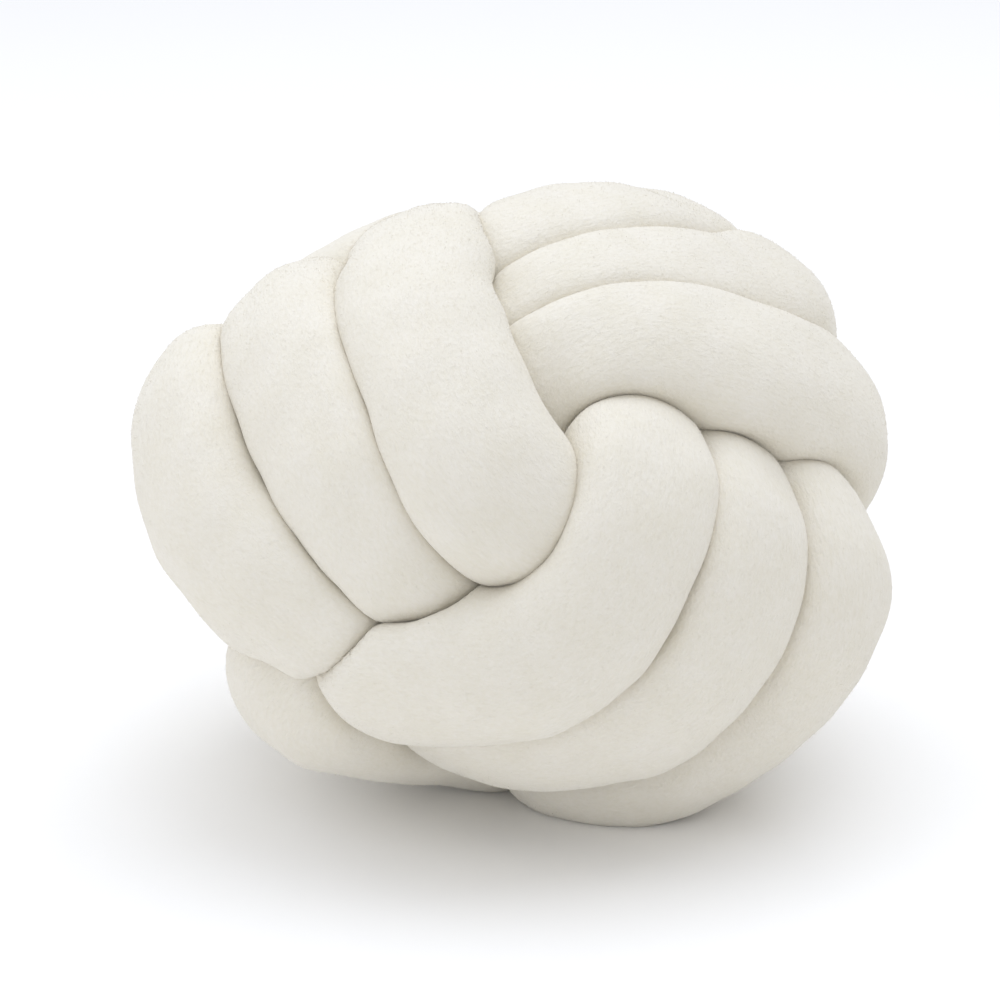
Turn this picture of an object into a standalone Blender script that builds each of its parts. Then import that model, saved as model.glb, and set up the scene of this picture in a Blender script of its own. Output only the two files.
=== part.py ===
"""Knot cushion: one stuffed plush tube wound as a monkey's-fist ball.

Three bands of three turns lie square to one another. Each band rides over one
neighbour and dives beneath the other. The tube is one closed solid: each band
runs on, through the middle of the ball, into the next. The named sizes are in mm,
and the mesh is made in metres, +Z up, with the middle of its base at the origin.
"""
import math

import bpy
import numpy as np

# ---- the knot, in mm ----------------------------------------------------------
R_RIDE = 74.5        # middle of the ball to the centre line of a turn that shows
R_UNDER = 38.1       # middle of the ball to the centre line where it passes beneath
DIVE_SHARP = 10.0    # how crisply a turn goes from riding to diving
W_UNDER = 23.0       # spacing of the turns of a band where they pass beneath
EDGE = 46.0          # degrees from mid face to where a turn starts to dive
MOUTH = 63.0         # degrees from mid face by which it is fully beneath
SOFT = 6.0           # length over which the centre line is eased
SPREAD = (1.096, 0.998, 0.93)   # the soft ball sags: wide, deep, tall
SINK = 6.0           # how far the ball's underside is pressed flat

# ---- the stuffed tube, in mm --------------------------------------------------
TUBE_W = 23.3        # half width where nothing presses on it
TUBE_H = 18.9        # half height, from the centre line out to the crown of a turn
FLAT = 2.3           # how flat the crown is: 2 would make the section an ellipse
GAP = 1.2            # air kept between two turns side by side
GAP_ACROSS = 2.4     # how much more is kept where they cross
ROUND = 9.0          # how squarely a turn fills the room it is given
BEND_ROOM = 0.66     # share of the inside radius of a bend that the tube may use
OWN = 26.0           # a turn's own stretch, which makes no wall for itself
REACH = 57.0         # how far off another turn can still press on it
LEAST = 2.0          # the tube never gets thinner than this

MM = 0.001
TINY = 1e-6                   # keeps a division from running away
BAND_FROM, BAND_TO = -45.0, 945.0     # degrees at which a band's three turns begin and end
BAND_STEPS = 397              # points of each band
STEPS = 1600                  # points of the centre line
FRAME_EASE = 2.0              # steps over which the directions of a section are eased
RINGS, SIDES = 400, 14        # sections of the tube, and sides of each

# How the knot lies: turns about world X, Y, Z in degrees, applied in that order.
LIE = (-26.8, -27.8, -132.3)

# The bands: name, and the knot's axes along, up and across each.
BANDS = (("A", 0, 1, 2), ("C", 1, 2, 0), ("B", 2, 0, 1))

# Where a turn lies on the face it shows. Turns are -1, 0 and 1. "across" and "lift"
# are at the start, middle and end of the face: across its band, and lifted out of
# the ball. "mouth" is at its two ends: how much further out it is where it dives.
FACES = (
    # band, side, turn, (across), (lift), (mouth: start, end)
    ("A", 1, -1, (-12, -32, -24), (7, 4, -5), (11, 10)),
    ("A", 1, 0, (9, 8, -12), (2, 1, -5), (11, 9)),
    ("A", 1, 1, (41, 37, 20), (-1, 5, 3), (11, 14)),
    ("C", 1, -1, (-28, -36, -19), (2, 6, 8), (11, 16)),
    ("C", 1, 0, (16, 6, 7), (-8, 1, 2), (3, 15)),
    ("C", 1, 1, (46, 40, 34), (-1, 3, 2), (-5, 15)),
    ("B", 1, -1, (-29, -28, -22), (8, 4, -4), (10, 11)),
    ("B", 1, 0, (-11, -1, -1), (13, 0, -2), (12, 11)),
    ("B", 1, 1, (28, 29, 14), (5, 2, -2), (11, 16)),
    ("A", -1, -1, (-24, -30, -24), (0, 0, 0), (12, 12)),
    ("A", -1, 0, (0, 0, 0), (0, 0, 0), (12, 12)),
    ("A", -1, 1, (24, 30, 24), (0, 0, 0), (12, 12)),
    ("C", -1, -1, (-24, -30, -24), (-4, -4, -4), (12, 12)),
    ("C", -1, 0, (0, 0, 0), (-4, -4, -4), (12, 12)),
    ("C", -1, 1, (22, 27, 22), (-3, -6, -4), (12, 12)),
    ("B", -1, -1, (-24, -28, -24), (-10, -8, -4), (12, 12)),
    ("B", -1, 0, (-2, -2, 0), (-12, -11, -4), (10, 10)),
    ("B", -1, 1, (21, 25, 28), (3, -12, -4), (10, 8)),
)

# The tube's way through the middle of the ball, from the end of a band to the
# next one, in the axes of the band that it leaves.
LINK = (
    # along, up, across
    (-30, -41, 25),
    (-17, -38, 26),
    (-6, -27, 21),
    (-3, -12, 12),
    (-9, -6, 7),
    (-16, -4, 0),
    (-20, -3, -10),
    (-21, 0, -18),
    (-23, 11, -28),
    (-24, 22, -35),
    (-24, 33, -40),
)


def soft_min(a, b, n):
    return (a ** -n + b ** -n) ** (-1.0 / n)


def unit(v):
    return v / np.linalg.norm(v, axis=-1, keepdims=True)


def ease_through(knots, values, x):
    """A smooth line through a few values."""
    knots, values = np.asarray(knots, float), np.asarray(values, float)
    slope = np.gradient(values, knots)
    i = np.clip(np.searchsorted(knots, x) - 1, 0, len(knots) - 2)
    h = knots[i + 1] - knots[i]
    t = (x - knots[i]) / h
    rise = 3 * t**2 - 2 * t**3
    return ((1 - rise) * values[i] + rise * values[i + 1]
            + h * ((t**3 - 2 * t**2 + t) * slope[i] + (t**3 - t**2) * slope[i + 1]))


def eased(values, sigma):
    """Values round a closed loop, evened out over sigma steps."""
    reach = int(4 * sigma) + 1
    shifts = np.arange(-reach, reach + 1)
    weights = np.exp(-0.5 * (shifts / sigma) ** 2)
    weights /= weights.sum()
    return sum(w * np.roll(values, -k, axis=0) for k, w in zip(shifts, weights))


def turned(angles):
    """The matrix that turns about X, then Y, then Z."""
    x, y, z = (math.radians(a) for a in angles)
    about_x = np.array(((1, 0, 0), (0, math.cos(x), -math.sin(x)), (0, math.sin(x), math.cos(x))))
    about_y = np.array(((math.cos(y), 0, math.sin(y)), (0, 1, 0), (-math.sin(y), 0, math.cos(y))))
    about_z = np.array(((math.cos(z), -math.sin(z), 0), (math.sin(z), math.cos(z), 0), (0, 0, 1)))
    return about_z @ about_y @ about_x


def in_knot_axes(axes, along, up, across):
    line = np.zeros((len(along), 3))
    line[:, axes[0]] = along
    line[:, axes[1]] = up
    line[:, axes[2]] = across
    return line


def band_line(name, *axes):
    """Centre line of the three turns of one band: a circle pressed in where the
    neighbouring band crosses over it."""
    face = {row[:3]: row[3:] for row in FACES}
    at, offs, lifts, mouths = [], [], [], []
    for i, turn in enumerate((-1, 0, 1)):
        for side, mid in ((1, 360 * i), (-1, 360 * i + 180)):
            shift, lift, mouth = face[(name, side, turn)]
            at += [mid - MOUTH, mid - EDGE, mid, mid + EDGE, mid + MOUTH]
            offs += [W_UNDER * turn, *shift, W_UNDER * turn]
            lifts += [0.0, *lift, 0.0]
            mouths += [mouth[0], mouth[0], 0.5 * (mouth[0] + mouth[1]), mouth[1], mouth[1]]
    phi = np.linspace(BAND_FROM, BAND_TO, BAND_STEPS)
    off = ease_through(at, offs, phi)
    lift = ease_through(at, lifts, phi)
    mouth = ease_through(at, mouths, phi)
    a = np.radians(phi)
    ride = np.sqrt((R_RIDE + lift) ** 2 - off ** 2)
    under = (R_UNDER + mouth * np.cos(a) ** 2) / np.maximum(np.abs(np.sin(a)), TINY)
    rho = soft_min(ride, under, DIVE_SHARP)
    return in_knot_axes(axes, rho * np.cos(a), rho * np.sin(a), off)


def closed_line(count):
    """The whole closed centre line in world axes, at equal steps."""
    parts = []
    for name, *axes in BANDS:
        parts += [band_line(name, *axes), in_knot_axes(axes, *np.asarray(LINK, float).T)]
    line = np.concatenate(parts)
    loop = np.vstack([line, line[:1]])
    run = np.r_[0.0, np.cumsum(np.linalg.norm(np.diff(loop, axis=0), axis=1))]
    s = np.arange(count) * run[-1] / count
    line = np.stack([np.interp(s, run, loop[:, k]) for k in range(3)], axis=1)
    line = eased(line, SOFT * count / run[-1])
    return (line @ turned(LIE).T) * np.asarray(SPREAD)


def tube_frame(line):
    """Along, outward and sideways directions at each point of the line."""
    along = unit(np.roll(line, -1, axis=0) - np.roll(line, 1, axis=0))
    out = unit(line - along * (line * along).sum(1, keepdims=True))
    out = eased(out, FRAME_EASE)
    out = unit(out - along * (out * along).sum(1, keepdims=True))
    return along, out, np.cross(along, out)


def sections(line, rings, sides):
    """Rings of points: each turn fills its own room and stops short of the walls
    midway to its neighbours."""
    count = len(line)
    loop = np.vstack([line, line[:1]])
    step = np.linalg.norm(np.diff(loop, axis=0), axis=1).sum() / count
    along, out, side = tube_frame(line)
    bend = (np.roll(along, -1, axis=0) - np.roll(along, 1, axis=0)) / (2 * step)
    bend = eased(bend, FRAME_EASE)
    theta = 2 * math.pi * np.arange(sides) / sides
    full = np.abs(np.cos(theta) / TUBE_H) ** FLAT + np.abs(np.sin(theta) / TUBE_W) ** FLAT
    full = full ** (-1.0 / FLAT)
    index = np.arange(count)
    points = []
    for ring in range(rings):
        i = ring * count // rings
        n = np.cos(theta)[:, None] * out[i] + np.sin(theta)[:, None] * side[i]
        d = line - line[i]
        far = np.linalg.norm(d, axis=1)
        apart = np.abs(index - i)
        apart = np.minimum(apart, count - apart) * step
        near = (far < REACH) & (apart > OWN)
        reach = np.maximum(n @ d[near].T, TINY)
        air = GAP + GAP_ACROSS * (1.0 - (along[near] @ along[i]) ** 2)
        room = (0.5 * far[near] * (far[near] - air) / reach).min(axis=1)
        inner = np.maximum(n @ bend[i], TINY)
        room = np.minimum(room, BEND_ROOM / inner)
        rho = soft_min(np.maximum(room, LEAST), full, ROUND)
        points.append(line[i] + rho[:, None] * n)
    return np.array(points)


def seated(points):
    """Press the underside flat and set the middle of the base at the origin."""
    floor = points[..., 2].min() + SINK
    points[..., 2] = np.maximum(points[..., 2], floor) - floor
    for k in (0, 1):
        points[..., k] -= 0.5 * (points[..., k].min() + points[..., k].max())
    return points


def faces_of(rings, sides):
    """The four-sided faces between each ring and the next, round the closed tube."""
    quads = []
    for i in range(rings):
        j = (i + 1) % rings
        for k in range(sides):
            m = (k + 1) % sides
            quads.append((i * sides + k, i * sides + m, j * sides + m, j * sides + k))
    return quads


def plush():
    material = bpy.data.materials.new("cream_plush")
    material.use_nodes = True
    shader = material.node_tree.nodes["Principled BSDF"]
    shader.inputs["Base Color"].default_value = (0.80, 0.77, 0.70, 1.0)
    shader.inputs["Roughness"].default_value = 0.95
    return material


def knotted_tube():
    """The stuffed tube, lofted from section to section."""
    points = MM * seated(sections(closed_line(STEPS), RINGS, SIDES))
    mesh = bpy.data.meshes.new("knotted_tube")
    mesh.from_pydata([tuple(p) for p in points.reshape(-1, 3)], [], faces_of(RINGS, SIDES))
    mesh.shade_smooth()
    mesh.materials.append(plush())
    return bpy.data.objects.new("knotted_tube", mesh)


def main():
    for thing in list(bpy.data.objects):
        bpy.data.objects.remove(thing, do_unlink=True)
    group = bpy.data.collections.new("knot_cushion")
    bpy.context.scene.collection.children.link(group)
    group.objects.link(knotted_tube())


if __name__ == "__main__":
    main()
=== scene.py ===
"""Knot cushion: the looks of a soft ball tied from one stuffed plush tube.

The tube is cream short-pile velour filled with fibre, wound as a monkey's-fist
knot. Three bands of three turns lie square to one another. Each band rides over
one neighbour and dives beneath the other. The fine surface follows the same rules
as the solid: every turn fills the room that its neighbours leave it.
"""

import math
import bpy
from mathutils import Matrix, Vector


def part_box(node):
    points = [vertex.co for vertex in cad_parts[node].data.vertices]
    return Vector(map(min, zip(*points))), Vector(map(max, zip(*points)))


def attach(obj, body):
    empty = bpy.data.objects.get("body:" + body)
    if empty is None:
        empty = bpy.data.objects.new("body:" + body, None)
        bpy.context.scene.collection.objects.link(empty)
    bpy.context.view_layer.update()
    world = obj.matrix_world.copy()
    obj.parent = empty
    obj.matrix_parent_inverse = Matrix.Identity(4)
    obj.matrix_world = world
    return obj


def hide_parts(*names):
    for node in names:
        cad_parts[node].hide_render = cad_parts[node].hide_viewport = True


bl_info = {
    "name": "Knot Cushion",
    "version": (1, 0, 0),
    "blender": (4, 5, 0),
    "location": "View3D > Sidebar > Knot Cushion",
    "description": "A plush tube wound as a monkey's-fist ball, with a plain studio round it",
    "category": "Add Mesh",
}

import bpy
import numpy as np
from bpy.props import FloatProperty, FloatVectorProperty, IntProperty, PointerProperty, StringProperty
from mathutils import Vector

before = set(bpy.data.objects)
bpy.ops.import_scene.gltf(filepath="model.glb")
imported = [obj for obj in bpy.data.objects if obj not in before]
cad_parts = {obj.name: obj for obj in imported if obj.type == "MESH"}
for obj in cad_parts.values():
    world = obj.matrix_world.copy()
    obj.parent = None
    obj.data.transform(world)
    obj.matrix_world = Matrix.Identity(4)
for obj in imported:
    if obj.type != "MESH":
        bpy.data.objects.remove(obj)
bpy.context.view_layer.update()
NODE = "knotted_tube"

MM = 0.001

# ---- the knot --------------------------------------------------------------------
# The bands: name, and the knot's axes along, up and across each.
BANDS = (("A", 0, 1, 2), ("C", 1, 2, 0), ("B", 2, 0, 1))

# How the knot lies: turns about world X, Y, Z in degrees, applied in that order.
LIE = (-26.8, -27.8, -132.3)

# How the soft ball sags: wide, deep, tall.
SPREAD = (1.096, 0.998, 0.93)

# Where a turn lies on the face it shows, in mm. Turns are -1, 0 and 1. "across" and "lift"
# are at the start, middle and end of the face: across its band, and lifted out of
# the ball. "mouth" is at its two ends: how much further out it is where it dives.
FACES = (
    # band, side, turn, (across), (lift), (mouth: start, end)
    ("A", 1, -1, (-12, -32, -24), (7, 4, -5), (11, 10)),
    ("A", 1, 0, (9, 8, -12), (2, 1, -5), (11, 9)),
    ("A", 1, 1, (41, 37, 20), (-1, 5, 3), (11, 14)),
    ("C", 1, -1, (-28, -36, -19), (2, 6, 8), (11, 16)),
    ("C", 1, 0, (16, 6, 7), (-8, 1, 2), (3, 15)),
    ("C", 1, 1, (46, 40, 34), (-1, 3, 2), (-5, 15)),
    ("B", 1, -1, (-29, -28, -22), (8, 4, -4), (10, 11)),
    ("B", 1, 0, (-11, -1, -1), (13, 0, -2), (12, 11)),
    ("B", 1, 1, (28, 29, 14), (5, 2, -2), (11, 16)),
    ("A", -1, -1, (-24, -30, -24), (0, 0, 0), (12, 12)),
    ("A", -1, 0, (0, 0, 0), (0, 0, 0), (12, 12)),
    ("A", -1, 1, (24, 30, 24), (0, 0, 0), (12, 12)),
    ("C", -1, -1, (-24, -30, -24), (-4, -4, -4), (12, 12)),
    ("C", -1, 0, (0, 0, 0), (-4, -4, -4), (12, 12)),
    ("C", -1, 1, (22, 27, 22), (-3, -6, -4), (12, 12)),
    ("B", -1, -1, (-24, -28, -24), (-10, -8, -4), (12, 12)),
    ("B", -1, 0, (-2, -2, 0), (-12, -11, -4), (10, 10)),
    ("B", -1, 1, (21, 25, 28), (3, -12, -4), (10, 8)),
)

# The tube's way through the middle of the ball, from the end of a band to the
# next one, in the axes of the band that it leaves, in mm.
LINK = (
    # along, up, across
    (-30, -41, 25),
    (-17, -38, 26),
    (-6, -27, 21),
    (-3, -12, 12),
    (-9, -6, 7),
    (-16, -4, 0),
    (-20, -3, -10),
    (-21, 0, -18),
    (-23, 11, -28),
    (-24, 22, -35),
    (-24, 33, -40),
)

EDGE = 46.0               # degrees from mid face to where a turn starts to dive
MOUTH = 63.0              # degrees from mid face by which it is fully beneath
BAND_FROM = -45.0         # degrees at which a band's first turn starts
BAND_TO = 945.0           # degrees at which its third turn ends
BAND_POINTS = 397         # points along a band, one every 2.5 degrees
UNDER_SPACING = 23.0      # mm between the turns of a band where they pass beneath
DIVE_SHARP = 10.0         # how crisply a turn goes from riding to diving
LINE_POINTS = 4200        # points of the whole centre line
LINE_EASE = 0.006         # metres over which the centre line is evened out

# ---- the tube's section ----------------------------------------------------------
FLAT = 2.3                # how flat a turn's crown is: 2 would make the section an ellipse
FILL_SHARP = 18.0         # how squarely a turn fills the room it is given
TURN_EASE = 0.0065        # metres over which the section's directions are evened out
SAME_STRETCH = 0.026      # metres along the tube within which it isn't its own neighbour
LOOK_PAST = 0.014         # metres beyond the tube's width in which neighbours are looked for
LEAST_ROOM = 0.002        # metres from the centre line to the cloth, at the least
BEND_ROOM = 0.66          # share of the inside radius of a bend that the tube may use
FLANK_FOCUS = 0.20        # how much closer a section's points stand on its flanks
HIDDEN_SHARE = 0.16       # how closely the sections stand inside the ball, against outside
HIDDEN_TO = 0.046         # metres from the middle within which the tube is hidden, before it sags
SHOWN_FROM = 0.060        # metres from the middle beyond which it shows, before it sags
TINY = 1e-6               # keeps a division from running away
NO_AREA = 1e-15           # lets a face without area have a normal

# ---- the unevenness of the stuffing ----------------------------------------------
LUMPS = (
    # share of the lumps' height, (wave lengths in metres), seed
    (0.7, (0.044, 0.038, 0.033, 0.029, 0.041, 0.035), 11),
    (0.4, (0.019, 0.016, 0.021, 0.014, 0.018), 12),
)
GATHER_EVERY = 0.0115     # metres between the gathers on the inside of a bend
GATHER_DRIFT = (1.6, (0.050, 0.037, 0.061), 13)    # how they stray: radians, wave lengths, seed
GATHER_BENDS = (0.35, 0.85)    # half width over radius of bend, where gathers start and are full

# ---- the tips of the pile --------------------------------------------------------
PILE_PIECES = (1, 2)
PILE_SEED = 20
PILE_RISE = (0.05, 0.18)  # how steeply the hairs stand, from lying flat to upright
PILE_REACH = (0.6, 1.2)   # the shortest and the longest hair, against the pile's length
PILE_STRAY = 0.45         # how far the hairs stray from the tube's own direction
ROOT_DEPTH = 0.1          # share of the pile's length that the roots lie deep
PILE_FROM = 0.066         # metres from the middle beyond which the cloth has hairs, before it sags
PILE_FACING = -0.15       # which way such cloth faces at the least: 1 out of the ball, 0 sideways

# ---- the velour's pattern --------------------------------------------------------
GRAIN_SHARE = 0.55        # how far the tint follows the grain; the rest follows the nap patches
GRAIN_DRAWN = (0.7, 1.0, 1.0)    # the grain is drawn out along the tube
OAT_AT = 0.30             # height of the pattern at and below which the tint is oat
CREAM_AT = 0.68           # height of the pattern at and above which it is cream
CRUMPLE_WIDE = 3          # how many tufts wide the crumples in the pile are

# ---- the studio ------------------------------------------------------------------
# The soft lights: where each stands from the ball in metres, and its power
# against the key light's.
SOFTBOXES = (
    # name, (x, y, z), share
    ("key softbox", (0.30, 0.20, 1.45), 1.0),
    ("upper left softbox", (-0.75, 0.15, 1.25), 0.28),
    ("left softbox", (-1.50, -0.30, 0.35), 0.38),
    ("front softbox", (0.0, -1.20, 0.95), 0.21),
)
SOFTBOX_SIZE = 1.5        # metres along each side
FLOOR_HALF = 40.0         # metres from the middle of the floor to its edges
SENSOR_WIDTH = 36.0       # mm


# ---- what a user would change ----------------------------------------------------
class KnotSizes(bpy.types.PropertyGroup):
    """Sizes of the ball and of the stuffed tube"""

    ride: FloatProperty(
        name="Ride radius",
        description="Middle of the ball to the centre line of a turn that shows",
        default=0.0745,
        unit="LENGTH",
    )
    under: FloatProperty(
        name="Under radius",
        description="Middle of the ball to the centre line where it passes beneath",
        default=0.0381,
        unit="LENGTH",
    )
    half_width: FloatProperty(
        name="Tube half width",
        description="Half width of the stuffed tube where nothing presses on it",
        default=0.0233,
        unit="LENGTH",
    )
    half_height: FloatProperty(
        name="Tube half height",
        description="From the tube's centre line out to the crown of a turn",
        default=0.0189,
        unit="LENGTH",
    )
    crease: FloatProperty(
        name="Crease",
        description="Air between two turns; below 0 their pile is pressed together",
        default=-0.0014,
        unit="LENGTH",
    )
    sink: FloatProperty(
        name="Sink",
        description="How far the ball's underside is pressed flat",
        default=0.006,
        unit="LENGTH",
    )
    lump: FloatProperty(
        name="Lumps",
        description="How far the stuffing lifts and dents the cloth",
        default=0.0007,
        unit="LENGTH",
    )
    pucker: FloatProperty(
        name="Puckers",
        description="Height of the gathers on the inside of a tight bend",
        default=0.00012,
        unit="LENGTH",
    )
    pile: FloatProperty(
        name="Pile",
        description="Length of the hairs that stand clear of the cloth",
        default=0.0009,
        unit="LENGTH",
    )
    # A fibre is about 0.02 mm thick, too fine to show, so a hair here is a tuft of them.
    hair_width: FloatProperty(
        name="Hair width",
        description="Width of a tuft of hairs at its root",
        default=0.00012,
        unit="LENGTH",
    )
    hairs: IntProperty(name="Hairs", description="Tufts of hair in each piece of pile", default=190000)
    rings: IntProperty(name="Rings", description="Sections along the tube", default=1540, min=200)
    sides: IntProperty(name="Sides", description="Points round each section", default=64, min=8)


class PlushFinish(bpy.types.PropertyGroup):
    """Colours and pile of the velour"""

    cream: StringProperty(
        name="Cream",
        description="The pile where it stands up and catches the light, as an sRGB hex value",
        default="#EAE5DA",
    )
    oat: StringProperty(
        name="Oat",
        description="The pile where it leans away and shows its depth, as an sRGB hex value",
        default="#E4DECE",
    )
    tip: StringProperty(
        name="Tips",
        description="The tips of the hairs, as an sRGB hex value",
        default="#EAE5DA",
    )
    sheen: StringProperty(
        name="Sheen",
        description="The light that the pile throws back at a grazing angle, as an sRGB hex value",
        default="#FFFDF8",
    )
    # Real tufts are about 0.4 mm wide. They are drawn coarser, so that they show.
    grain: FloatProperty(
        name="Grain",
        description="Width of a tuft of pile",
        default=0.0009,
        unit="LENGTH",
    )
    nap: FloatProperty(
        name="Nap patches",
        description="Width of the patches in which the pile leans one way",
        default=0.011,
        unit="LENGTH",
    )
    tuft: FloatProperty(
        name="Tufts",
        description="How far a tuft of pile stands above the next",
        default=0.0004,
        unit="LENGTH",
    )
    crumple: FloatProperty(
        name="Crumples",
        description="How deep the pile is crumpled",
        default=0.0005,
        unit="LENGTH",
    )


class Studio(bpy.types.PropertyGroup):
    """Floor, lights and camera"""

    floor: StringProperty(
        name="Floor",
        description="Colour of the plain floor, as an sRGB hex value",
        default="#FDFCFA",
    )
    room: StringProperty(
        name="Room",
        description="Colour of the white room's light, as an sRGB hex value",
        default="#FAFBFF",
    )
    lamps: StringProperty(
        name="Lamps",
        description="Colour of the softboxes, as an sRGB hex value",
        default="#F1F6FF",
    )
    distance: FloatProperty(
        name="Camera distance",
        description="From the ball to the camera",
        default=1.1,
        unit="LENGTH",
    )
    elevation: FloatProperty(
        name="Camera height",
        description="How far above the level the camera looks down from",
        default=math.radians(20.0),
        subtype="ANGLE",
    )
    lens: FloatProperty(name="Lens", description="Focal length in mm", default=147.7, unit="CAMERA")
    aim: FloatVectorProperty(
        name="Aim",
        description="The point in the middle of the picture",
        default=(-0.0034, -0.0015, 0.0794),
        subtype="TRANSLATION",
    )
    sky: FloatProperty(
        name="Room light",
        description="Strength of the even light of the white room",
        default=0.61,
    )
    key: FloatProperty(
        name="Key light",
        description="Power of the large softbox over the ball",
        default=13.3,
        unit="POWER",
    )


# ---- small helpers ---------------------------------------------------------------
def linear(hex_colour):
    """An sRGB hex value as linear red, green, blue and alpha."""
    text = hex_colour.lstrip("#")
    srgb = [int(text[i:i + 2], 16) / 255 for i in (0, 2, 4)]
    rgb = [c / 12.92 if c <= 0.04045 else ((c + 0.055) / 1.055) ** 2.4 for c in srgb]
    return (*rgb, 1.0)


def unit(v):
    """Vectors of length 1 in the same directions."""
    return v / np.linalg.norm(v, axis=-1, keepdims=True)


def soft_min(a, b, n):
    """The smaller of two values, rounded over where they are alike; sharper for a larger n."""
    return (a ** -n + b ** -n) ** (-1.0 / n)


def ramp(x, low, high):
    """0 below low, 1 above high, smooth between them."""
    t = np.clip((x - low) / (high - low), 0.0, 1.0)
    return t * t * (3 - 2 * t)


def eased(values, sigma):
    """Values round a closed loop, evened out over sigma steps."""
    reach = int(4 * sigma) + 1
    shifts = np.arange(-reach, reach + 1)
    weights = np.exp(-0.5 * (shifts / sigma) ** 2)
    weights /= weights.sum()
    return sum(w * np.roll(values, -k, axis=0) for k, w in zip(shifts, weights))


def ease_through(knots, values, x):
    """A smooth line through a few values."""
    knots, values = np.asarray(knots, float), np.asarray(values, float)
    slope = np.gradient(values, knots)
    i = np.clip(np.searchsorted(knots, x) - 1, 0, len(knots) - 2)
    h = knots[i + 1] - knots[i]
    t = (x - knots[i]) / h
    rise = 3 * t**2 - 2 * t**3
    return ((1 - rise) * values[i] + rise * values[i + 1]
            + h * ((t**3 - 2 * t**2 + t) * slope[i] + (t**3 - t**2) * slope[i + 1]))


def turned(angles):
    """The matrix that turns about X, then Y, then Z."""
    x, y, z = (math.radians(a) for a in angles)
    about_x = np.array(((1, 0, 0), (0, math.cos(x), -math.sin(x)), (0, math.sin(x), math.cos(x))))
    about_y = np.array(((math.cos(y), 0, math.sin(y)), (0, 1, 0), (-math.sin(y), 0, math.cos(y))))
    about_z = np.array(((math.cos(z), -math.sin(z), 0), (math.sin(z), math.cos(z), 0), (0, 0, 1)))
    return about_z @ about_y @ about_x


def waves(points, lengths, seed):
    """A soft random height field through space, about -1 to 1."""
    rng = np.random.default_rng(seed)
    height = np.zeros(points.shape[:-1])
    for length in lengths:
        direction = unit(rng.normal(size=3))
        phase = rng.uniform(0.0, 2 * math.pi)
        height += np.sin(points @ direction * (2 * math.pi / length) + phase)
    return height / math.sqrt(len(lengths))


# ---- the centre line of the tube -------------------------------------------------
def in_knot_axes(axes, along, up, across):
    """Points given along, up and across a band, in the knot's own axes."""
    line = np.zeros((len(along), 3))
    line[:, axes[0]] = along
    line[:, axes[1]] = up
    line[:, axes[2]] = across
    return line


def band_line(sizes, name, *axes):
    """Centre line of the three turns of one band: a circle pressed in where the
    neighbouring band crosses over it."""
    face = {row[:3]: row[3:] for row in FACES}
    at, offs, lifts, mouths = [], [], [], []
    for i, turn in enumerate((-1, 0, 1)):
        for side, mid in ((1, 360 * i), (-1, 360 * i + 180)):
            shift, lift, mouth = face[(name, side, turn)]
            at += [mid - MOUTH, mid - EDGE, mid, mid + EDGE, mid + MOUTH]
            offs += [UNDER_SPACING * turn, *shift, UNDER_SPACING * turn]
            lifts += [0.0, *lift, 0.0]
            mouths += [mouth[0], mouth[0], 0.5 * (mouth[0] + mouth[1]), mouth[1], mouth[1]]
    phi = np.linspace(BAND_FROM, BAND_TO, BAND_POINTS)
    off = MM * ease_through(at, offs, phi)
    lift = MM * ease_through(at, lifts, phi)
    mouth = MM * ease_through(at, mouths, phi)
    a = np.radians(phi)
    ride = np.sqrt((sizes.ride + lift) ** 2 - off ** 2)
    under = (sizes.under + mouth * np.cos(a) ** 2) / np.maximum(np.abs(np.sin(a)), TINY)
    rho = soft_min(ride, under, DIVE_SHARP)
    return in_knot_axes(axes, rho * np.cos(a), rho * np.sin(a), off)


def closed_line(sizes, count):
    """The whole closed centre line in world axes, at equal steps."""
    parts = []
    for name, *axes in BANDS:
        link = in_knot_axes(axes, *(MM * np.asarray(LINK, float)).T)
        parts += [band_line(sizes, name, *axes), link]
    line = np.concatenate(parts)
    loop = np.vstack([line, line[:1]])
    run = np.r_[0.0, np.cumsum(np.linalg.norm(np.diff(loop, axis=0), axis=1))]
    s = np.arange(count) * run[-1] / count
    line = np.stack([np.interp(s, run, loop[:, k]) for k in range(3)], axis=1)
    line = eased(line, LINE_EASE * count / run[-1])
    return (line @ turned(LIE).T) * np.asarray(SPREAD)


def step_of(line):
    """Mean distance from a point of the closed line to the next."""
    return np.linalg.norm(np.roll(line, -1, axis=0) - line, axis=1).mean()


def tube_frame(line, sigma):
    """Along, outward and sideways directions at each point of the line."""
    along = unit(np.roll(line, -1, axis=0) - np.roll(line, 1, axis=0))
    out = unit(line - along * (line * along).sum(1, keepdims=True))
    out = eased(out, sigma)
    out = unit(out - along * (out * along).sum(1, keepdims=True))
    return along, out, np.cross(along, out)


# ---- the surface of the tube -----------------------------------------------------
def ring_places(sizes, line):
    """Where along the line the sections stand: close together where the tube shows."""
    depth = np.linalg.norm(line / np.asarray(SPREAD), axis=1)
    share = HIDDEN_SHARE + (1 - HIDDEN_SHARE) * ramp(depth, HIDDEN_TO, SHOWN_FROM)
    total = np.cumsum(share)
    return np.searchsorted(total, np.linspace(total[0], total[-1], sizes.rings, endpoint=False))


def oval(sizes, theta):
    """How far a turn reaches each way where nothing presses on it."""
    full = np.abs(np.cos(theta) / sizes.half_height) ** FLAT
    full += np.abs(np.sin(theta) / sizes.half_width) ** FLAT
    return full ** (-1.0 / FLAT)


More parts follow.
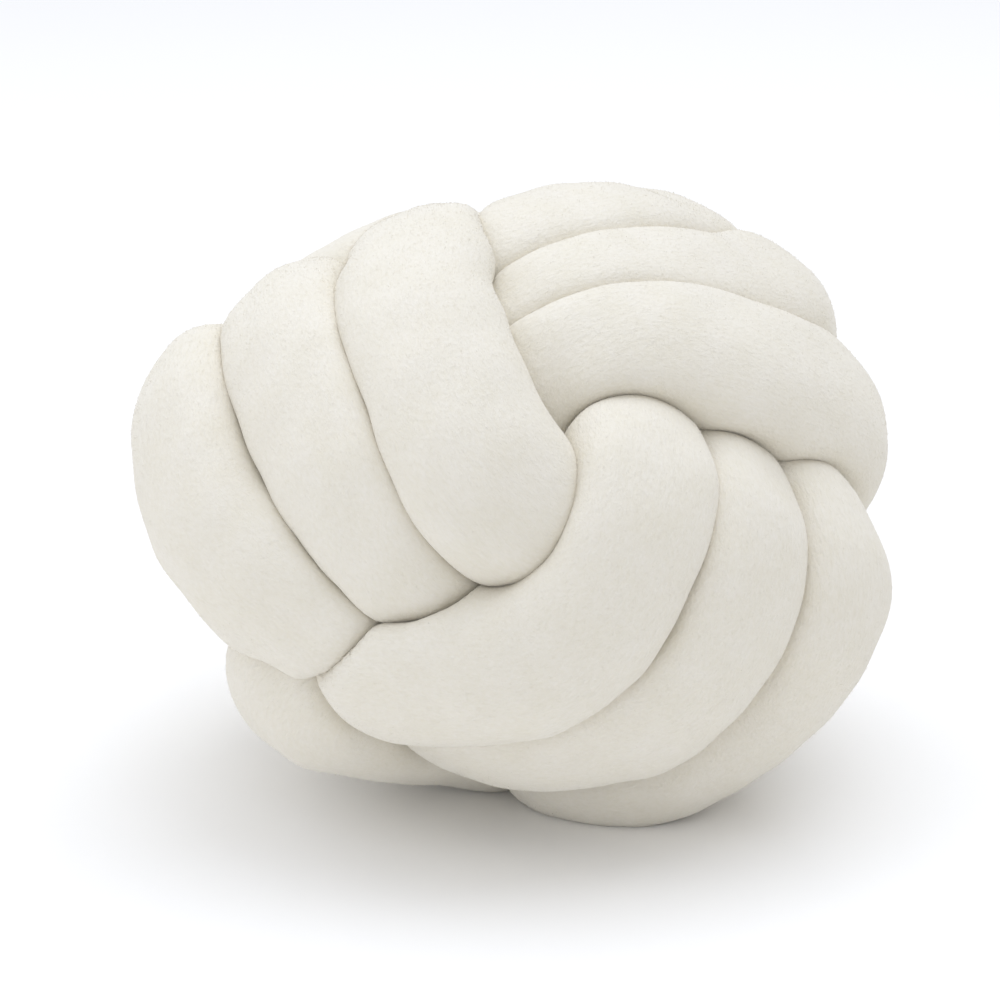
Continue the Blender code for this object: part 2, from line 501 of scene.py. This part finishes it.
def room_at(sizes, line, step, i, ways):
    """How far the tube can reach each way at one point of its line, before it
    meets the walls midway to the stretches of tube that pass near it."""
    to_others = line - line[i]
    far = np.linalg.norm(to_others, axis=1)
    apart = np.abs(np.arange(len(line)) - i)
    apart = np.minimum(apart, len(line) - apart) * step
    near = (far < 2 * sizes.half_width + LOOK_PAST) & (apart > SAME_STRETCH)
    reach = np.maximum(ways @ to_others[near].T, TINY)
    return (0.5 * far[near] * (far[near] - sizes.crease) / reach).min(axis=1)


def sections(sizes, line, places):
    """Rings of points: each turn fills its own room and stops at the walls midway
    to its neighbours. Each ring starts on the side turned to the middle. With
    them comes how strongly the cloth is gathered at each point."""
    step = step_of(line)
    sigma = TURN_EASE / step
    along, out, side = tube_frame(line, sigma)
    bend = eased((np.roll(along, -1, axis=0) - np.roll(along, 1, axis=0)) / (2 * step), sigma)
    turn = 2 * math.pi * np.arange(sizes.sides) / sizes.sides - math.pi
    theta = turn + FLANK_FOCUS * np.sin(2 * turn)
    ways = np.cos(theta)[:, None] * out[places, None] + np.sin(theta)[:, None] * side[places, None]
    full = oval(sizes, theta)
    reaches, gathers = [], []
    for i, way in zip(places, ways):
        inner = np.maximum(way @ bend[i], TINY)
        room = np.minimum(room_at(sizes, line, step, i, way), BEND_ROOM / inner)
        reaches.append(soft_min(np.maximum(room, LEAST_ROOM), full, FILL_SHARP))
        gathers.append(ramp(inner * sizes.half_width, *GATHER_BENDS))
    rho = np.array(reaches)
    # The cloth rounds over the walls' sharp edges, along the tube and round it.
    for axis in (0, 1, 0, 1):
        rho = 0.25 * np.roll(rho, 1, axis) + 0.5 * rho + 0.25 * np.roll(rho, -1, axis)
    return line[places, None] + rho[..., None] * ways, np.array(gathers)


def out_of(points):
    """Unit normals of the ringed surface, pointing out of the tube."""
    down = np.roll(points, -1, axis=0) - np.roll(points, 1, axis=0)
    round_it = np.roll(points, -1, axis=1) - np.roll(points, 1, axis=1)
    return unit(np.cross(round_it, down) + NO_AREA)


def stuffed(sizes):
    """The tube's surface with the unevenness of its stuffing and its gathers."""
    line = closed_line(sizes, LINE_POINTS)
    places = ring_places(sizes, line)
    points, gathers = sections(sizes, line, places)
    normals = out_of(points)
    lumps = sizes.lump * sum(share * waves(points, lengths, seed) for share, lengths, seed in LUMPS)
    drift, lengths, seed = GATHER_DRIFT
    run = step_of(line) * places[:, None]
    phase = 2 * math.pi * run / GATHER_EVERY + drift * waves(points, lengths, seed)
    folds = sizes.pucker * gathers * np.cos(phase)
    points = points + (lumps + folds)[..., None] * normals
    return seated(sizes, points)


def seated(sizes, points):
    """Press the underside flat and set the ball where its solid stands."""
    low, high = (np.array(corner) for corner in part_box(NODE))
    bottom = points[..., 2].min() + sizes.sink
    points[..., 2] = np.maximum(points[..., 2], bottom) - bottom + low[2]
    for k in (0, 1):
        middle = 0.5 * (points[..., k].min() + points[..., k].max())
        points[..., k] += 0.5 * (low[k] + high[k]) - middle
    return points


def ringed_mesh(name, points):
    """A closed tube of four-sided faces. Its UV map "lay" gives metres along the
    tube and metres round it from its outer side."""
    rings, sides = points.shape[:2]
    i = np.repeat(np.arange(rings), sides)
    k = np.tile(np.arange(sides), rings)
    j, m = (i + 1) % rings, (k + 1) % sides
    quads = np.stack([i * sides + k, i * sides + m, j * sides + m, j * sides + k], axis=1)
    mesh = bpy.data.meshes.new(name)
    mesh.from_pydata(points.reshape(-1, 3).tolist(), [], quads.tolist())

    closed = np.concatenate([points, points[:, :1]], axis=1)
    girth = np.cumsum(np.linalg.norm(np.diff(closed, axis=1), axis=2), axis=1)
    girth = np.concatenate([np.zeros((rings, 1)), girth], axis=1)
    girth -= girth[:, sides // 2, None]
    middle = points.mean(axis=1)
    run = np.cumsum(np.linalg.norm(np.roll(middle, -1, axis=0) - middle, axis=1))
    run = np.concatenate([[0.0], run])
    u = np.stack([run[i], run[i], run[i + 1], run[i + 1]], axis=1)
    v = np.stack([girth[i, k], girth[i, k + 1], girth[j, k + 1], girth[j, k]], axis=1)
    layer = mesh.uv_layers.new(name="lay")
    layer.data.foreach_set("uv", np.stack([u, v], axis=2).ravel())
    mesh.shade_smooth()
    return mesh


# ---- the pile --------------------------------------------------------------------
def pile_mesh(name, sizes, points, seed):
    """Tips of the pile: thin slanting hairs, scattered over the cloth that shows."""
    rng = np.random.default_rng(seed)
    middle = np.array((0.0, 0.0, 0.5 * points[..., 2].max()))
    corner = [
        points,
        np.roll(points, -1, axis=0),
        np.roll(points, (-1, -1), axis=(0, 1)),
        np.roll(points, -1, axis=1),
    ]
    crossed = np.cross(corner[3] - corner[1], corner[2] - corner[0])
    area = 0.5 * np.linalg.norm(crossed, axis=-1)
    normal = unit(crossed + NO_AREA)
    radial = (sum(corner) / 4 - middle) / np.asarray(SPREAD)
    outside = np.linalg.norm(radial, axis=-1) > PILE_FROM
    shows = outside & ((normal * unit(radial)).sum(-1) > PILE_FACING)
    chance = np.cumsum((area * shows).ravel())

    at = np.searchsorted(chance, rng.uniform(0, chance[-1], sizes.hairs))
    a, b, c, d = (each.reshape(-1, 3)[at] for each in corner)
    u, v = rng.uniform(size=(2, sizes.hairs, 1))
    root = (a * (1 - u) + b * u) * (1 - v) + (d * (1 - u) + c * u) * v
    n = normal.reshape(-1, 3)[at]
    along = unit(b - a)
    lean = unit(along + rng.normal(scale=PILE_STRAY, size=along.shape))
    rise = rng.uniform(*PILE_RISE, size=(sizes.hairs, 1))
    way = unit((1 - rise) * lean + rise * n)
    length = sizes.pile * rng.uniform(*PILE_REACH, size=(sizes.hairs, 1))
    half = 0.5 * sizes.hair_width * unit(np.cross(way, n))
    tip = root + length * way
    root = root - ROOT_DEPTH * sizes.pile * n
    vertices = np.stack([root - half, root + half, tip], axis=1).reshape(-1, 3)
    vertices[:, 2] = np.maximum(vertices[:, 2], points[..., 2].min())
    mesh = bpy.data.meshes.new(name)
    mesh.from_pydata(vertices.tolist(), [], np.arange(3 * sizes.hairs).reshape(-1, 3).tolist())
    return mesh


# ---- materials -------------------------------------------------------------------
def node(tree, kind, settings=None, links=None):
    """Add a node, set its values, and link its inputs to other nodes' outputs.
    An input goes by its name, or by its number where names repeat."""
    made = tree.nodes.new(kind)
    for key, value in (settings or {}).items():
        if isinstance(key, int) or key in made.inputs:
            made.inputs[key].default_value = value
        else:
            setattr(made, key, value)
    for key, source in (links or {}).items():
        tree.links.new(source, made.inputs[key])
    return made


def material(name, **values):
    """A new material, and its shader with the given values on its own sockets."""
    made = bpy.data.materials.new(name)
    made.use_nodes = True
    shader = made.node_tree.nodes["Principled BSDF"]
    for key, value in values.items():
        shader.inputs[key.replace("_", " ")].default_value = value
    return made, shader


def velour(finish):
    """Polyester velour, knitted and sheared to a pile of about 1.5 mm. The tips take
    the light evenly and brighten at grazing angles; patches of pile lean different
    ways, which gives the eye faint clouds; the tufts give it a fine grain."""
    made, shader = material(
        "cream short-pile velour",
        Roughness=1.0,
        IOR=1.45,
        Specular_IOR_Level=0.12,
        Sheen_Weight=0.30,
        Sheen_Roughness=0.55,
        Sheen_Tint=linear(finish.sheen),
    )
    tree = made.node_tree
    place = node(tree, "ShaderNodeTexCoord")
    lay = node(tree, "ShaderNodeUVMap", {"uv_map": "lay"})

    # Clouds: patches of pile that lean another way.
    nap = node(tree, "ShaderNodeTexNoise",
               {"Scale": 1 / finish.nap, "Detail": 3.0, "Roughness": 0.55},
               {"Vector": place.outputs["Object"]})
    # Grain: tufts, drawn out a little along the tube.
    drawn = node(tree, "ShaderNodeVectorMath",
                 {"operation": "MULTIPLY", 1: GRAIN_DRAWN},
                 {0: lay.outputs["UV"]})
    grain = node(tree, "ShaderNodeTexNoise",
                 {"Scale": 1 / finish.grain, "Detail": 2.0, "Roughness": 0.6},
                 {"Vector": drawn.outputs["Vector"]})

    clouds = node(tree, "ShaderNodeMath",
                  {"operation": "MULTIPLY", 1: 1 - GRAIN_SHARE},
                  {0: nap.outputs["Fac"]})
    mixed = node(tree, "ShaderNodeMath",
                 {"operation": "MULTIPLY_ADD", 1: GRAIN_SHARE},
                 {0: grain.outputs["Fac"], 2: clouds.outputs[0]})
    tint = node(tree, "ShaderNodeValToRGB", links={"Fac": mixed.outputs[0]})
    leaning, upright = tint.color_ramp.elements
    leaning.position = OAT_AT
    leaning.color = linear(finish.oat)
    upright.position = CREAM_AT
    upright.color = linear(finish.cream)
    tree.links.new(tint.outputs["Color"], shader.inputs["Base Color"])

    # Relief: the crumpled pile, and on it the tufts themselves.
    crumple = node(tree, "ShaderNodeTexNoise",
                   {"Scale": 1 / (CRUMPLE_WIDE * finish.grain), "Detail": 3.0, "Roughness": 0.6},
                   {"Vector": place.outputs["Object"]})
    soft = node(tree, "ShaderNodeBump",
                {"Strength": 0.6, "Distance": finish.crumple},
                {"Height": crumple.outputs["Fac"]})
    tufts = node(tree, "ShaderNodeBump",
                 {"Strength": 0.7, "Distance": finish.tuft},
                 {"Height": grain.outputs["Fac"], "Normal": soft.outputs["Normal"]})
    tree.links.new(tufts.outputs["Normal"], shader.inputs["Normal"])
    return made


def tips(finish):
    """The tips of the pile, of the same polyester as the velour: matt and cream, each
    too fine for a pattern of its own. Together they give its edges a soft bloom."""
    made, _ = material(
        "velour pile tips",
        Base_Color=linear(finish.tip),
        Roughness=1.0,
        IOR=1.45,
        Specular_IOR_Level=0.12,
    )
    return made


def matt_card(hex_colour):
    """Matt white studio card, which gives the eye nothing but soft light."""
    made, _ = material(
        "matt studio card",
        Base_Color=linear(hex_colour),
        Roughness=1.0,
        Specular_IOR_Level=0.0,
    )
    return made


# ---- the stage -------------------------------------------------------------------
def pale_floor(studio):
    """One wide plain square, level with the ball's underside."""
    mesh = bpy.data.meshes.new("floor")
    corners = [(x * FLOOR_HALF, y * FLOOR_HALF, 0) for x, y in ((-1, -1), (1, -1), (1, 1), (-1, 1))]
    mesh.from_pydata(corners, [], [(0, 1, 2, 3)])
    mesh.materials.append(matt_card(studio.floor))
    return bpy.data.objects.new("floor", mesh)


def white_room(studio):
    """Even light from all sides."""
    world = bpy.data.worlds.new("white room")
    world.use_nodes = True
    sky = world.node_tree.nodes["Background"]
    sky.inputs["Color"].default_value = linear(studio.room)
    sky.inputs["Strength"].default_value = studio.sky
    return world


def softbox(studio, name, place, share):
    """A square soft light, turned to the ball."""
    data = bpy.data.lights.new(name, "AREA")
    data.shape = "SQUARE"
    data.size = SOFTBOX_SIZE
    data.energy = share * studio.key
    data.color = linear(studio.lamps)[:3]
    lamp = bpy.data.objects.new(name, data)
    aim = Vector(studio.aim)
    lamp.location = aim + Vector(place)
    lamp.rotation_euler = (aim - lamp.location).to_track_quat("-Z", "Y").to_euler()
    return lamp


def camera_at(studio):
    """The camera, straight in front of the ball and looking down on it."""
    data = bpy.data.cameras.new("camera")
    data.lens = studio.lens
    data.sensor_width = SENSOR_WIDTH
    camera = bpy.data.objects.new("camera", data)
    back = Vector((0.0, -math.cos(studio.elevation), math.sin(studio.elevation)))
    camera.location = Vector(studio.aim) + studio.distance * back
    camera.rotation_euler = (math.pi / 2 - studio.elevation, 0.0, 0.0)
    return camera


# ---- operators -------------------------------------------------------------------
class KNOT_OT_stuffed_tube(bpy.types.Operator):
    """Make the stuffed plush tube wound into its ball"""

    bl_idname = "knot.stuffed_tube"
    bl_label = "Stuffed Tube"

    def execute(self, context):
        sizes = context.scene.knot_sizes
        mesh = ringed_mesh("plush_tube", stuffed(sizes))
        mesh.materials.append(velour(context.scene.plush_finish))
        tube = bpy.data.objects.new("plush_tube", mesh)
        context.scene.collection.objects.link(tube)
        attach(tube, "root")
        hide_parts(NODE)
        return {"FINISHED"}


class KNOT_OT_pile(bpy.types.Operator):
    """Cover the tube with the tips of its pile"""

    bl_idname = "knot.pile"
    bl_label = "Pile"

    def execute(self, context):
        sizes = context.scene.knot_sizes
        points = stuffed(sizes)
        coat = tips(context.scene.plush_finish)
        for number in PILE_PIECES:
            mesh = pile_mesh(f"pile_{number}", sizes, points, PILE_SEED + number)
            mesh.materials.append(coat)
            pile = bpy.data.objects.new(f"pile_{number}", mesh)
            context.scene.collection.objects.link(pile)
            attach(pile, "root")
        return {"FINISHED"}


class KNOT_OT_stage(bpy.types.Operator):
    """Make the plain floor, the soft lights and the camera"""

    bl_idname = "knot.stage"
    bl_label = "Stage"

    def execute(self, context):
        scene = context.scene
        studio = scene.knot_studio
        floor = pale_floor(studio)
        scene.collection.objects.link(floor)
        scene.world = white_room(studio)
        for name, place, share in SOFTBOXES:
            scene.collection.objects.link(softbox(studio, name, place, share))
        camera = camera_at(studio)
        scene.collection.objects.link(camera)
        scene.camera = camera
        scene.view_settings.view_transform = "Standard"
        return {"FINISHED"}


class KNOT_PT_panel(bpy.types.Panel):
    """The cushion's sizes, finish and stage"""

    bl_idname = "KNOT_PT_panel"
    bl_label = "Knot Cushion"
    bl_space_type = "VIEW_3D"
    bl_region_type = "UI"
    bl_category = "Knot Cushion"

    def draw(self, context):
        scene = context.scene
        for group in (scene.knot_sizes, scene.plush_finish, scene.knot_studio):
            box = self.layout.box()
            for name in group.__annotations__:
                box.prop(group, name)
        self.layout.operator("knot.stuffed_tube")
        self.layout.operator("knot.pile")
        self.layout.operator("knot.stage")


CLASSES = (
    KnotSizes,
    PlushFinish,
    Studio,
    KNOT_OT_stuffed_tube,
    KNOT_OT_pile,
    KNOT_OT_stage,
    KNOT_PT_panel,
)


def register():
    for each in CLASSES:
        bpy.utils.register_class(each)
    bpy.types.Scene.knot_sizes = PointerProperty(type=KnotSizes)
    bpy.types.Scene.plush_finish = PointerProperty(type=PlushFinish)
    bpy.types.Scene.knot_studio = PointerProperty(type=Studio)


def unregister():
    del bpy.types.Scene.knot_studio
    del bpy.types.Scene.plush_finish
    del bpy.types.Scene.knot_sizes
    for each in reversed(CLASSES):
        bpy.utils.unregister_class(each)


def main():
    """Make the stage and the cushion."""
    register()
    bpy.ops.knot.stage()
    bpy.ops.knot.stuffed_tube()
    bpy.ops.knot.pile()
    bpy.context.view_layer.update()


if __name__ == "__main__":
    main()
